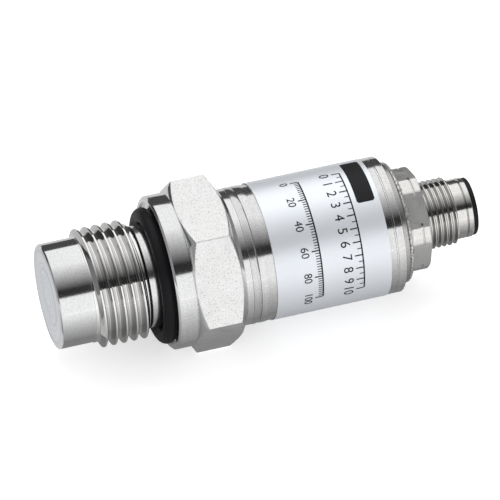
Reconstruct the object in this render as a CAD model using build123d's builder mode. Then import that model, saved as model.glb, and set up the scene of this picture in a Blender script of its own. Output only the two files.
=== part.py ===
from build123d import *
from math import cos, radians, sin, tan
import os

# A flush-diaphragm pressure transmitter with an M12 plug, lying on one flat of its hexagon.
# X runs along its axis from the flush face at zero towards the plug, Z is up, sizes are in mm.

# Port: plain tip
tip_d = 18.4
tip_length = 6.2
tip_edge = 0.25
diaphragm_rim = 0.6
diaphragm_land = 0.9
diaphragm_thickness = 0.12
corrugation_count = 3
corrugation_depth = 0.16
corrugation_plateau = 0.3
diaphragm_centre_d = 5.0
bed_gap = 0.15
capillary_d = 1.5

# Port: G 1/2 process thread, 55 degree form
process_major_d = 20.955
process_minor_d = 18.631
process_pitch = 1.814
process_thread_length = 9.5
process_flank_angle = 27.5
process_crest_share = 1 / 6

# Port: undercut neck, collar and hexagon
neck_d = 17.9
neck_length = 3.9
neck_run_in = 1.15
collar_rim = 1.0
collar_length = 3.4
collar_chamfer = 0.35
hex_across_flats = 27.0
hex_length = 8.5
hex_turning_angle = 30
hex_turning_inset = 0.2

# Port: root, spigot and pilot for the tube
root_length = 0.8
root_rise = 0.5
spigot_length = 1.1
pilot_length = 2.0
pilot_clearance = 0.03

# Sealing ring on the neck
ring_inner_d = 18.72
ring_section_d = 2.62
ring_seat_gap = 0.03
recess_depth = 0.63
recess_clearance = 0.14

# Pressure capsule in the port
chamber_front = 7.0
chamber_length = 1.4
pocket_d = 13.6
pocket_length = 12.6
pocket_ledge = 0.6
rear_bore_d = 17.0
capsule_clearance = 0.02
header_length = 3.0
header_pin_d = 0.45
header_glass_d = 1.5
header_pin_inset = 2.98
header_pin_reach = 0.45
header_places = 7
header_pin_count = 6
fill_hole_d = 0.8
fill_seat_d = 1.2
fill_seat_depth = 1.2
fill_ball_clearance = 0.01
filler_thickness = 1.2
filler_wall = 1.58
retaining_ring_length = 1.6
retaining_ring_wall = 1.4
pedestal_side = 3.2
pedestal_height = 0.5
die_side = 2.6
die_height = 0.4

# Compensation board on the header's pins
compensation_board_gap = 0.4
compensation_gap = 2.0
board_thickness = 1.0
board_hole_clearance = 0.05
pin_end_length = 0.8
chip_resistor = (0.6, 1.25, 2.0)
compensation_resistor_count = 4
compensation_resistor_gap = 0.1

# Housing tube, its welds and its label
housing_d = 24.0
tube_wall = 1.0
tube_length = 26.0
weld_band_length = 1.45
weld_band_depth = 0.25
weld_groove_width = 0.12
weld_groove_depth = 0.07
seam_depth = 0.2
seam_clearance = 0.01
label_offset = 4.2
label_rear_margin = 1.3
label_thickness = 0.08
label_gap = 0.01
label_opening_angle = 4
label_seam_angle = -110

# End cap
cap_ring_length = 1.5
cap_step_d = 21.6
cap_step_length = 1.05
cap_bead_length = 0.8
cap_pilot_length = 1.5
cap_wall = 1.3
cap_bore_wall = 2.5
flange_seat_depth = 0.65

# Plug shell: flange, hexagon, M12 thread, 60 degree form, and nose
flange_d = 20.2
shell_tail_d = 13.0
shell_tail_length = 1.4
shell_clearance = 0.02
bead_rise = 0.55
bead_crown = 0.2
plug_hex_across_flats = 17.0
plug_hex_turned_d = 18.1
plug_hex_length = 3.75
plug_hex_turn_angle = -24.15
plug_hex_edge = 0.25
plug_groove_offset = 2.15
plug_groove_width = 0.3
plug_groove_depth = 0.22
plug_major_d = 12.0
plug_minor_d = 10.773
plug_pitch = 1.0
plug_thread_length = 6.1
plug_flank_angle = 30
plug_crest_share = 1 / 8
nose_d = 10.5
nose_length = 2.8
nose_groove_offset = 1.7
nose_groove_width = 0.25
nose_groove_depth = 0.12

# Plug insert, its pins and its seal
insert_d = 9.5
insert_clearance = 0.025
insert_rim_d = 10.2
insert_rim_length = 0.9
insert_rim_round = 0.35
insert_cavity_d = 8.5
insert_cavity_depth = 9.0
insert_base_length = 6.3
key_width = 0.9
key_height = 0.65
key_setback = 0.6
contact_circle_d = 5.0
contact_pin_d = 1.0
contact_pin_length = 7.8
contact_pin_tip = 0.25
contact_shank_d = 1.24
contact_tail_d = 0.8
contact_tail_length = 1.4
contact_shank_inset = 0.6
contact_count = 4
contact_clearance = 0.01
seal_section_d = 1.0
seal_squeeze_gap = 0.02
seal_groove_play = 0.4
seal_offset = 3.0

# Main board, its carriers and what is soldered on it
main_board_edge_gap = 1.0
main_board_end_gap = 0.3
carrier_length = 3.0
carrier_wall = 1.65
carrier_clearance = 0.05
carrier_slot_clearance = 0.05
amplifier_size = (5.0, 4.0, 1.5)
converter_size = (6.0, 5.0, 1.2)
transistor_size = (3.5, 6.5, 1.6)
diode_size = (4.3, 2.6, 2.2)
capacitor_size = (3.2, 1.6, 1.5)
capacitor_count = 3
capacitor_pitch = 2.4
diode_count = 2
diode_pitch = 6.0
solder_gap = 0.02
lead_width = 0.4
lead_thickness = 0.2
lead_reach = 0.9
leads_a_side = 4
lead_pitch = 1.1
flex_width = 6.0
flex_thickness = 0.2
flex_overlap = 2.5
flex_bend = 1.2
flex_hump = 2.2
supply_lead_d = 0.8
supply_lead_landing = 2.6
supply_lead_bend = 0.6
supply_lead_run = 0.8

# Places along the axis, each from the one before it
thread_start = tip_length
thread_end = thread_start + process_thread_length
neck_end = thread_end + neck_length
collar_end = neck_end + collar_length
hex_end = collar_end + hex_length
root_end = hex_end + root_length
spigot_end = root_end + spigot_length
pilot_end = spigot_end + pilot_length
tube_end = spigot_end + tube_length
cap_pilot_start = tube_end - cap_pilot_length
cap_ring_end = tube_end + cap_ring_length
cap_step_end = cap_ring_end + cap_step_length
cap_end = cap_step_end + cap_bead_length
flange_seat = cap_step_end - flange_seat_depth
plug_hex_end = cap_end + plug_hex_length
plug_thread_end = plug_hex_end + plug_thread_length
nose_end = plug_thread_end + nose_length
rim_end = nose_end + insert_rim_length

# Radii that several pieces share
tip_r = tip_d / 2
neck_r = neck_d / 2
housing_r = housing_d / 2
tube_inner_r = housing_r - tube_wall
pilot_r = tube_inner_r - pilot_clearance
seam_bottom_r = housing_r - seam_depth
rear_bore_r = rear_bore_d / 2
pocket_r = pocket_d / 2
chamber_r = pocket_r - pocket_ledge
capsule_r = pocket_r - capsule_clearance
hex_apothem = hex_across_flats / 2
plug_apothem = plug_hex_across_flats / 2
insert_r = insert_d / 2
shell_bore_r = insert_r + insert_clearance


def ridge_outline(start, length, pitch, crest_r, root_r, flank_angle, crest_share):
    """Section of a thread as ring ridges at its true pitch, as (place, radius) points."""
    crest = pitch * crest_share
    flank = (crest_r - root_r) * tan(radians(flank_angle))
    ridge = crest + 2 * flank
    count = int((length - ridge) // pitch) + 1
    points = []
    for turn in range(count):
        foot = start + turn * pitch
        points.append((foot, root_r))
        points.append((foot + flank, crest_r))
        points.append((foot + flank + crest, crest_r))
        points.append((foot + ridge, root_r))
    return points


def polar(radius, angle):
    """A point in the YZ plane, with the angle counted from Y towards Z."""
    return radius * cos(radians(angle)), radius * sin(radians(angle))


# Front face: the diaphragm lies in a shallow seat inside the rim, over an oil-filled bed
seat_r = tip_r - diaphragm_rim
diaphragm_r = seat_r - capsule_clearance
bed_r = seat_r - diaphragm_land
bed_place = diaphragm_thickness + corrugation_depth + bed_gap
hex_turning_r = hex_apothem - hex_turning_inset
turned_hex_r = hex_apothem / cos(radians(30)) + hex_turning_inset
turning_run = (turned_hex_r - hex_turning_r) * tan(radians(hex_turning_angle))
root_r = housing_r + root_rise
ring_play = (ring_inner_d - neck_d) / 2 - ring_seat_gap
recess_r = ring_inner_d / 2 + ring_section_d + ring_play + recess_clearance
collar_r = recess_r + collar_rim
pocket_start = chamber_front + chamber_length
pocket_end = pocket_start + pocket_length
neck_start = thread_end + neck_run_in

with BuildPart() as port_body:
    with BuildSketch(Plane.XZ):
        with BuildLine():
            Polyline(
                (bed_place, capillary_d / 2),
                (bed_place, bed_r),
                (diaphragm_thickness, bed_r),
                (diaphragm_thickness, seat_r),
                (0, seat_r),
                (0, tip_r - tip_edge),
                (tip_edge, tip_r),
                (thread_start, tip_r),
                *ridge_outline(
                    thread_start,
                    process_thread_length,
                    process_pitch,
                    process_major_d / 2,
                    process_minor_d / 2,
                    process_flank_angle,
                    process_crest_share,
                ),
                (thread_end, process_minor_d / 2),
            )
            TangentArc((neck_start, neck_r), (thread_end, process_minor_d / 2), tangent=(-1, 0))
            Polyline(
                (neck_start, neck_r),
                (neck_end + recess_depth, neck_r),
                (neck_end + recess_depth, recess_r),
                (neck_end, recess_r),
                (neck_end, collar_r - collar_chamfer),
                (neck_end + collar_chamfer, collar_r),
                (collar_end, collar_r),
                (collar_end, hex_turning_r),
                (collar_end + turning_run, turned_hex_r),
                (hex_end - turning_run, turned_hex_r),
                (hex_end, hex_turning_r),
                (hex_end, root_r),
                (root_end, housing_r),
                (spigot_end - seam_clearance, housing_r),
                (spigot_end - seam_clearance, pilot_r),
                (pilot_end, pilot_r),
                (pilot_end, rear_bore_r),
                (pocket_end, rear_bore_r),
                (pocket_end, pocket_r),
                (pocket_start, pocket_r),
                (pocket_start, chamber_r),
                (chamber_front, chamber_r),
                (chamber_front, capillary_d / 2),
                (bed_place, capillary_d / 2),
            )
        make_face()
    revolve(axis=Axis.X)
    with BuildSketch(Plane.YZ.offset(collar_end)):
        Circle(turned_hex_r + 1)
        RegularPolygon(hex_apothem, 6, major_radius=False, mode=Mode.SUBTRACT)
    extrude(amount=hex_length, mode=Mode.SUBTRACT)
port_body.part.label = "port_body"
export_step(port_body.part, "parts/port_body.step")

# Diaphragm: a flat centre, rings pressed towards the bed, and a flat land that is welded down
wave_start_r = diaphragm_centre_d / 2
wave_pitch = (bed_r - wave_start_r) / corrugation_count
wave_slope = wave_pitch / 2 - corrugation_plateau
wave_front = []
for wave in range(corrugation_count):
    wave_r = wave_start_r + wave * wave_pitch
    wave_front.append((0, wave_r))
    wave_front.append((corrugation_depth, wave_r + wave_slope))
    wave_front.append((corrugation_depth, wave_r + wave_slope + corrugation_plateau))
    wave_front.append((0, wave_r + 2 * wave_slope + corrugation_plateau))
wave_back = [(place + diaphragm_thickness, radius) for place, radius in reversed(wave_front)]

with BuildPart() as flush_diaphragm:
    with BuildSketch(Plane.XZ):
        with BuildLine():
            Polyline(
                (0, 0),
                *wave_front,
                (0, diaphragm_r),
                (diaphragm_thickness, diaphragm_r),
                *wave_back,
                (diaphragm_thickness, 0),
                close=True,
            )
        make_face()
    revolve(axis=Axis.X)
flush_diaphragm.part.label = "flush_diaphragm"
export_step(flush_diaphragm.part, "parts/flush_diaphragm.step")

# Sealing ring: it hangs on the top of the neck, with its rear against the recess floor
ring_centre_x = neck_end + recess_depth - ring_section_d / 2
ring_centre_r = (ring_inner_d + ring_section_d) / 2
with BuildPart() as sealing_o_ring:
    with BuildSketch(Plane.XZ):
        with Locations((ring_centre_x, ring_centre_r - ring_play)):
            Circle(ring_section_d / 2)
    revolve(axis=Axis((0, 0, -ring_play), (1, 0, 0)))
sealing_o_ring.part.label = "sealing_o_ring"
export_step(sealing_o_ring.part, "parts/sealing_o_ring.step")

# Header: a steel disc with glass-sealed pins and, in the seventh place, the oil filling hole
header_end = pocket_start + header_length
header_step = 360 / header_places
header_pin_r = capsule_r - header_pin_inset
fill_y, fill_z = polar(header_pin_r, header_pin_count * header_step)
with BuildPart() as header_body:
    with BuildSketch(Plane.YZ.offset(pocket_start)):
        Circle(capsule_r)
        for place in range(header_pin_count):
            with Locations(polar(header_pin_r, place * header_step)):
                Circle(header_glass_d / 2, mode=Mode.SUBTRACT)
        with Locations((fill_y, fill_z)):
            Circle(fill_hole_d / 2, mode=Mode.SUBTRACT)
    extrude(amount=header_length)
    with BuildSketch(Plane.YZ.offset(header_end)):
        with Locations((fill_y, fill_z)):
            Circle(fill_seat_d / 2)
    extrude(amount=-fill_seat_depth, mode=Mode.SUBTRACT)
header_body.part.label = "header_body"
export_step(header_body.part, "parts/header_body.step")

fill_ball_r = fill_seat_d / 2 - fill_ball_clearance
fill_ball_x = header_end - fill_seat_depth + (fill_ball_r**2 - (fill_hole_d / 2) ** 2) ** 0.5
with BuildPart() as oil_fill_ball:
    with Locations((fill_ball_x, fill_y, fill_z)):
        Sphere(fill_ball_r)
oil_fill_ball.part.label = "oil_fill_ball"
export_step(oil_fill_ball.part, "parts/oil_fill_ball.step")

with BuildPart() as header_retaining_ring:
    with BuildSketch(Plane.YZ.offset(header_end)):
        Circle(capsule_r)
        Circle(capsule_r - retaining_ring_wall, mode=Mode.SUBTRACT)
    extrude(amount=retaining_ring_length)
header_retaining_ring.part.label = "header_retaining_ring"
export_step(header_retaining_ring.part, "parts/header_retaining_ring.step")

with BuildPart() as volume_filler:
    with BuildSketch(Plane.YZ.offset(pocket_start - filler_thickness)):
        Circle(chamber_r - capsule_clearance)
        Circle(chamber_r - capsule_clearance - filler_wall, mode=Mode.SUBTRACT)
    extrude(amount=filler_thickness)
volume_filler.part.label = "volume_filler"
export_step(volume_filler.part, "parts/volume_filler.step")

with BuildPart() as glass_pedestal:
    with BuildSketch(Plane.YZ.offset(pocket_start)):
        Rectangle(pedestal_side, pedestal_side)
    extrude(amount=-pedestal_height)
glass_pedestal.part.label = "glass_pedestal"
export_step(glass_pedestal.part, "parts/glass_pedestal.step")

with BuildPart() as silicon_die:
    with BuildSketch(Plane.YZ.offset(pocket_start - pedestal_height)):
        Rectangle(die_side, die_side)
    extrude(amount=-die_height)
silicon_die.part.label = "silicon_die"
export_step(silicon_die.part, "parts/silicon_die.step")

# Compensation board: a disc that stands on the pins behind the header
compensation_front = header_end + retaining_ring_length + compensation_gap
compensation_rear = compensation_front + board_thickness
header_pin_start = pocket_start - header_pin_reach
header_pin_end = compensation_rear + pin_end_length
with BuildPart() as compensation_board:
    with BuildSketch(Plane.YZ.offset(compensation_front)):
        Circle(pocket_r - compensation_board_gap)
        for place in range(header_pin_count):
            with Locations(polar(header_pin_r, place * header_step)):
                Circle(header_pin_d / 2 + board_hole_clearance, mode=Mode.SUBTRACT)
    extrude(amount=board_thickness)
compensation_board.part.label = "compensation_board"
export_step(compensation_board.part, "parts/compensation_board.step")

for place in range(header_pin_count):
    number = place + 1
    with BuildPart() as header_glass:
        with BuildSketch(Plane.YZ.offset(pocket_start)):
            with Locations(polar(header_pin_r, place * header_step)):
                Circle(header_glass_d / 2)
                Circle(header_pin_d / 2, mode=Mode.SUBTRACT)
        extrude(amount=header_length)
    header_glass.part.label = f"header_glass_{number}"
    export_step(header_glass.part, f"parts/header_glass_{number}.step")

    with BuildPart() as header_pin:
        with BuildSketch(Plane.YZ.offset(header_pin_start)):
            with Locations(polar(header_pin_r, place * header_step)):
                Circle(header_pin_d / 2)
        extrude(amount=header_pin_end - header_pin_start)
    header_pin.part.label = f"header_pin_{number}"
    export_step(header_pin.part, f"parts/header_pin_{number}.step")

# Four laser-trimmed resistors lie in a row on the front of the compensation board
resistor_height, resistor_width, resistor_length = chip_resistor
resistor_reach = header_pin_r - header_pin_d / 2 - compensation_resistor_gap
resistor_row = resistor_reach - resistor_width / 2
resistor_pitch = 2 * resistor_row / (compensation_resistor_count - 1)
for place in range(compensation_resistor_count):
    number = place + 1
    resistor_y = place * resistor_pitch - resistor_row
    with BuildPart() as compensation_resistor:
        with BuildSketch(Plane.YZ.offset(compensation_front - solder_gap)):
            with Locations((resistor_y, 0)):
                Rectangle(resistor_width, resistor_length)
        extrude(amount=-resistor_height)
    compensation_resistor.part.label = f"compensation_resistor_{number}"
    export_step(compensation_resistor.part, f"parts/compensation_resistor_{number}.step")

# Housing tube: a rebate at its front takes the weld, a bevel at its rear takes the seam
weld_band_end = spigot_end + weld_band_length
weld_root_r = housing_r - weld_band_depth
with BuildPart() as housing_tube:
    with BuildSketch(Plane.XZ):
        with BuildLine():
            Polyline(
                (spigot_end, tube_inner_r),
                (spigot_end, weld_root_r),
                (weld_band_end, weld_root_r),
                (weld_band_end, housing_r),
                (tube_end - seam_depth, housing_r),
                (tube_end, seam_bottom_r),
                (tube_end, tube_inner_r),
                close=True,
            )
        make_face()
    revolve(axis=Axis.X)
housing_tube.part.label = "housing_tube"
export_step(housing_tube.part, "parts/housing_tube.step")

# Front weld: three smooth lands with fine grooves between them
weld_land = (weld_band_length - 2 * weld_groove_width) / 3
weld_outline = []
for land in range(3):
    land_start = spigot_end + land * (weld_land + weld_groove_width)
    weld_outline.append((land_start, housing_r))
    weld_outline.append((land_start + weld_land, housing_r))
    if land < 2:
        weld_outline.append((land_start + weld_land, housing_r - weld_groove_depth))
        weld_outline.append(
            (land_start + weld_land + weld_groove_width, housing_r - weld_groove_depth)
        )
with BuildPart() as front_weld_bead:
    with BuildSketch(Plane.XZ):
        with BuildLine():
            Polyline(
                (spigot_end, weld_root_r),
                *weld_outline,
                (weld_band_end, weld_root_r),
                close=True,
            )
        make_face()
    revolve(axis=Axis.X)
front_weld_bead.part.label = "front_weld_bead"
export_step(front_weld_bead.part, "parts/front_weld_bead.step")

# Rear weld: a thin line of metal at the bottom of the seam
seam_fill = seam_depth * 0.7
with BuildPart() as rear_weld_bead:
    with BuildSketch(Plane.XZ):
        with BuildLine():
            Polyline(
                (tube_end, seam_bottom_r + seam_clearance),
                (tube_end + seam_fill, seam_bottom_r + seam_clearance + seam_fill),
                (tube_end - seam_fill, seam_bottom_r + seam_clearance + seam_fill),
                close=True,
            )
        make_face()
    revolve(axis=Axis.X)
rear_weld_bead.part.label = "rear_weld_bead"
export_step(rear_weld_bead.part, "parts/rear_weld_bead.step")

# Label: foil wrapped round the tube, with its open seam at the back
label_start = spigot_end + label_offset
label_length = tube_end - label_rear_margin - label_start
label_r = housing_r + label_gap
with BuildPart() as label:
    with BuildSketch(Plane.XZ):
        with Locations((label_start + label_length / 2, label_r + label_thickness / 2)):
            Rectangle(label_length, label_thickness)
    revolve(axis=Axis.X, revolution_arc=360 - label_opening_angle)
label.part = label.part.rotate(Axis.X, label_seam_angle)
label.part.label = "label"
export_step(label.part, "parts/label.step")

# End cap: a cup whose pilot enters the tube, bored for the plug shell
cap_inner_r = pilot_r - cap_bore_wall
cap_floor = flange_seat - cap_wall
shell_tail_r = shell_tail_d / 2
flange_r = flange_d / 2
with BuildPart() as end_cap:
    with BuildSketch(Plane.XZ):
        with BuildLine():
            Polyline(
                (cap_pilot_start, cap_inner_r),
                (cap_pilot_start, pilot_r),
                (tube_end, pilot_r),
                (tube_end, seam_bottom_r),
                (tube_end + seam_depth, housing_r),
                (cap_ring_end, housing_r),
                (cap_ring_end, cap_step_d / 2),
                (cap_step_end, cap_step_d / 2),
                (cap_step_end, flange_r + shell_clearance),
                (flange_seat, flange_r + shell_clearance),
                (flange_seat, shell_tail_r + shell_clearance),
                (cap_floor, shell_tail_r + shell_clearance),
                (cap_floor, cap_inner_r),
                close=True,
            )
        make_face()
    revolve(axis=Axis.X)
end_cap.part.label = "end_cap"
export_step(end_cap.part, "parts/end_cap.step")

# Weld round the plug's flange: a ring with a rounded crown
with BuildPart() as connector_weld_bead:
    with BuildSketch(Plane.XZ) as bead_section:
        with Locations((cap_step_end + cap_bead_length / 2, flange_r + bead_rise / 2)):
            Rectangle(cap_bead_length, bead_rise)
        chamfer(bead_section.vertices().group_by(Axis.Y)[-1], bead_crown)
    revolve(axis=Axis.X)
connector_weld_bead.part.label = "connector_weld_bead"
export_step(connector_weld_bead.part, "parts/connector_weld_bead.step")

# Plug shell: turned from bar, with six flats milled on its turned head
groove_start = cap_end + plug_groove_offset
groove_end = groove_start + plug_groove_width
plug_turned_r = plug_hex_turned_d / 2
nose_r = nose_d / 2
nose_groove_start = plug_thread_end + nose_groove_offset
nose_groove_end = nose_groove_start + nose_groove_width
shell_rear = flange_seat - shell_tail_length
with BuildPart() as connector_shell:
    with BuildSketch(Plane.XZ):
        with BuildLine():
            Polyline(
                (shell_rear, shell_bore_r),
                (shell_rear, shell_tail_r),
                (flange_seat, shell_tail_r),
                (flange_seat, flange_r),
                (cap_end, flange_r),
                (cap_end, plug_turned_r),
                (groove_start, plug_turned_r),
                (groove_start, plug_turned_r - plug_groove_depth),
                (groove_end, plug_turned_r - plug_groove_depth),
                (groove_end, plug_turned_r),
                (plug_hex_end - plug_hex_edge, plug_turned_r),
                (plug_hex_end, plug_turned_r - plug_hex_edge),
                *ridge_outline(
                    plug_hex_end,
                    plug_thread_length,
                    plug_pitch,
                    plug_major_d / 2,
                    plug_minor_d / 2,
                    plug_flank_angle,
                    plug_crest_share,
                ),
                (plug_thread_end, plug_minor_d / 2),
                (plug_thread_end, nose_r),
                (nose_groove_start, nose_r),
                (nose_groove_start, nose_r - nose_groove_depth),
                (nose_groove_end, nose_r - nose_groove_depth),
                (nose_groove_end, nose_r),
                (nose_end, nose_r),
                (nose_end, shell_bore_r),
                close=True,
            )
        make_face()
    revolve(axis=Axis.X)
    with BuildSketch(Plane.YZ.offset(cap_end)):
        Circle(flange_r)
        RegularPolygon(
            plug_apothem,
            6,
            major_radius=False,
            rotation=plug_hex_turn_angle,
            mode=Mode.SUBTRACT,
        )
    extrude(amount=plug_hex_length, mode=Mode.SUBTRACT)
connector_shell.part.label = "connector_shell"
export_step(connector_shell.part, "parts/connector_shell.step")

# Plug insert: a black cup with a keyed wall, whose rim seats on the end of the nose
cavity_floor = rim_end - insert_cavity_depth
insert_rear = cavity_floor - insert_base_length
cavity_r = insert_cavity_d / 2
seal_x = insert_rear + seal_offset
seal_centre_r = shell_bore_r - seal_squeeze_gap - seal_section_d / 2
seal_floor_r = seal_centre_r - seal_section_d / 2 - seal_squeeze_gap
seal_groove_half = (seal_section_d + seal_groove_play) / 2
contact_step = 360 / contact_count
shank_start = insert_rear + contact_shank_inset
with BuildPart() as contact_insert:
    with BuildSketch(Plane.XZ) as insert_section:
        with BuildLine():
            Polyline(
                (insert_rear, 0),
                (insert_rear, insert_r),
                (seal_x - seal_groove_half, insert_r),
                (seal_x - seal_groove_half, seal_floor_r),
                (seal_x + seal_groove_half, seal_floor_r),
                (seal_x + seal_groove_half, insert_r),
                (nose_end, insert_r),
                (nose_end, insert_rim_d / 2),
                (rim_end, insert_rim_d / 2),
                (rim_end, cavity_r),
                (cavity_floor, cavity_r),
                (cavity_floor, 0),
                close=True,
            )
        make_face()
        fillet(insert_section.vertices().group_by(SortBy.DISTANCE)[-1], insert_rim_round)
    revolve(axis=Axis.X)
    with BuildSketch(Plane.YZ.offset(cavity_floor)):
        with Locations((0, cavity_r - key_height / 2)):
            Rectangle(key_width, key_height + insert_clearance)
    extrude(amount=insert_cavity_depth - key_setback)
    for place in range(contact_count):
        hole_y, hole_z = polar(contact_circle_d / 2, (place + 0.5) * contact_step)
        with BuildSketch(Plane.YZ.offset(shank_start)):
            with Locations((hole_y, hole_z)):
                Circle(contact_shank_d / 2 + contact_clearance)
        extrude(amount=cavity_floor - shank_start, mode=Mode.SUBTRACT)
        with BuildSketch(Plane.YZ.offset(insert_rear)):
            with Locations((hole_y, hole_z)):
                Circle(contact_tail_d / 2 + contact_clearance)
        extrude(amount=contact_shank_inset, mode=Mode.SUBTRACT)
contact_insert.part.label = "contact_insert"
export_step(contact_insert.part, "parts/contact_insert.step")

with BuildPart() as insert_seal_ring:
    with BuildSketch(Plane.XZ):
        with Locations((seal_x, seal_centre_r)):
            Circle(seal_section_d / 2)
    revolve(axis=Axis.X)
insert_seal_ring.part.label = "insert_seal_ring"
export_step(insert_seal_ring.part, "parts/insert_seal_ring.step")

# Plug pins: a thicker shank in the insert, a free pin in the cavity and a solder tail behind
tail_end = insert_rear - contact_tail_length
for place in range(contact_count):
    number = place + 1
    pin_y, pin_z = polar(contact_circle_d / 2, (place + 0.5) * contact_step)
    with BuildPart() as contact_pin:
        with BuildSketch(Plane.YZ.offset(tail_end)):
            with Locations((pin_y, pin_z)):
                Circle(contact_tail_d / 2)
        extrude(amount=contact_tail_length + contact_shank_inset)
        with BuildSketch(Plane.YZ.offset(shank_start)):
            with Locations((pin_y, pin_z)):
                Circle(contact_shank_d / 2)
        extrude(amount=cavity_floor - shank_start)
        with BuildSketch(Plane.YZ.offset(cavity_floor)):
            with Locations((pin_y, pin_z)):
                Circle(contact_pin_d / 2)
        extrude(amount=contact_pin_length)
        chamfer(contact_pin.edges().group_by(Axis.X)[-1], contact_pin_tip)
    contact_pin.part.label = f"contact_pin_{number}"
    export_step(contact_pin.part, f"parts/contact_pin_{number}.step")

# Main board: it lies along the axis, with its long edges in two slotted rings
board_start = pilot_end + main_board_end_gap
board_end = cap_pilot_start - main_board_end_gap
board_middle = (board_start + board_end) / 2
board_face = board_thickness / 2
main_board_width = 2 * (tube_inner_r - main_board_edge_gap)
with BuildPart() as main_board:
    with BuildSketch(Plane.XY.offset(-board_face)):
        with Locations((board_middle, 0)):
            Rectangle(board_end - board_start, main_board_width)
    extrude(amount=board_thickness)
main_board.part.label = "main_board"
export_step(main_board.part, "parts/main_board.step")

carrier_outer_r = tube_inner_r - carrier_clearance
carrier_places = {
    "front_board_carrier": pilot_end + carrier_clearance,
    "rear_board_carrier": cap_pilot_start - carrier_clearance - carrier_length,
}
for carrier_name, carrier_start in carrier_places.items():
    with BuildPart() as board_carrier:
        with BuildSketch(Plane.YZ.offset(carrier_start)):
            Circle(carrier_outer_r)
            Circle(carrier_outer_r - carrier_wall, mode=Mode.SUBTRACT)
            Rectangle(
                main_board_width + 2 * carrier_slot_clearance,
                board_thickness + 2 * carrier_slot_clearance,
                mode=Mode.SUBTRACT,
            )
        extrude(amount=carrier_length)
    board_carrier.part.label = carrier_name
    export_step(board_carrier.part, f"parts/{carrier_name}.step")


def chip_with_leads(name, size, place_x, place_y):
    """A moulded chip on the board's upper face, with a row of leads on each long side."""
    length, width, height = size
    bottom = board_face + solder_gap
    with BuildPart() as chip:
        with BuildSketch(Plane.XY.offset(bottom + lead_thickness / 2)):
            with Locations((place_x, place_y)):
                Rectangle(length, width)
        extrude(amount=height)
        chamfer(chip.edges().group_by(Axis.Z)[-1], lead_thickness)
        with BuildSketch(Plane.XY.offset(bottom)):
            with Locations((place_x, place_y)):
                with GridLocations(lead_pitch, width + lead_reach, leads_a_side, 2):
                    Rectangle(lead_width, lead_reach + 2 * lead_thickness)
        extrude(amount=lead_thickness)
    chip.part.label = name
    export_step(chip.part, f"parts/{name}.step")


flex_end = board_start + flex_overlap
chip_run = board_end - supply_lead_landing - flex_end
chip_space = (chip_run - amplifier_size[0] - converter_size[0]) / 3
amplifier_x = flex_end + chip_space + amplifier_size[0] / 2
converter_x = amplifier_x + chip_space + (amplifier_size[0] + converter_size[0]) / 2
chip_with_leads("amplifier_chip", amplifier_size, amplifier_x, main_board_width / 8)
chip_with_leads("converter_chip", converter_size, converter_x, -main_board_width / 8)

under_face = -board_face - solder_gap
with BuildPart() as driver_transistor:
    with BuildSketch(Plane.XY.offset(under_face)):
        with Locations((converter_x, 0)):
            Rectangle(transistor_size[0], transistor_size[1])
    extrude(amount=-transistor_size[2])
    chamfer(driver_transistor.edges().group_by(Axis.Z)[0], lead_thickness)
driver_transistor.part.label = "driver_transistor"
export_step(driver_transistor.part, "parts/driver_transistor.step")

for place in range(diode_count):
    number = place + 1
    diode_y = (place - (diode_count - 1) / 2) * diode_pitch
    with BuildPart() as protection_diode:
        with BuildSketch(Plane.XY.offset(under_face)):
            with Locations((amplifier_x, diode_y)):
                Rectangle(diode_size[0], diode_size[1])
        extrude(amount=-diode_size[2])
        chamfer(protection_diode.edges().group_by(Axis.Z)[0], lead_thickness)
    protection_diode.part.label = f"protection_diode_{number}"
    export_step(protection_diode.part, f"parts/protection_diode_{number}.step")

for place in range(capacitor_count):
    number = place + 1
    capacitor_y = main_board_width / 4 + (place - (capacitor_count - 1) / 2) * capacitor_pitch
    with BuildPart() as capacitor:
        with BuildSketch(Plane.XY.offset(board_face + solder_gap)):
            with Locations((converter_x, capacitor_y)):
                Rectangle(capacitor_size[0], capacitor_size[1])
        extrude(amount=capacitor_size[2])
    capacitor.part.label = f"capacitor_{number}"
    export_step(capacitor.part, f"parts/capacitor_{number}.step")

# Flexible strip: from the compensation board, over a hump that takes up movement, to the board
flex_z = board_face + solder_gap + flex_thickness / 2
hump_start = compensation_rear + pin_end_length + flex_bend
hump_end = board_start - flex_bend
hump_middle = (hump_start + hump_end) / 2
with BuildPart() as sensor_flex:
    with BuildSketch(Plane.XZ):
        with BuildLine():
            FilletPolyline(
                (compensation_rear + solder_gap, flex_z),
                (hump_start, flex_z),
                (hump_middle, flex_z + flex_hump),
                (hump_end, flex_z),
                (flex_end, flex_z),
                radius=flex_bend,
            )
        trace(line_width=flex_thickness)
    extrude(amount=flex_width / 2, both=True)
sensor_flex.part.label = "sensor_flex"
export_step(sensor_flex.part, "parts/sensor_flex.step")

# Supply leads: each runs from a pin's tail to the nearer face of the board
lead_r = supply_lead_d / 2
lead_start = tail_end - solder_gap
lead_landing_z = board_face + solder_gap + lead_r
for place in range(contact_count):
    number = place + 1
    pin_y, pin_z = polar(contact_circle_d / 2, (place + 0.5) * contact_step)
    side = 1 if pin_z > 0 else -1
    with BuildPart() as supply_lead:
        with BuildLine() as route:
            FilletPolyline(
                (lead_start, pin_y, pin_z),
                (lead_start - supply_lead_run, pin_y, pin_z),
                (board_end, pin_y, side * lead_landing_z),
                (board_end - supply_lead_landing, pin_y, side * lead_landing_z),
                radius=supply_lead_bend,
            )
        with BuildSketch(Plane(origin=route.line @ 0, z_dir=route.line % 0)):
            Circle(lead_r)
        sweep(path=route.line)
    supply_lead.part.label = f"supply_lead_{number}"
    export_step(supply_lead.part, f"parts/supply_lead_{number}.step")
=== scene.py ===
import math
from collections import namedtuple

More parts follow.
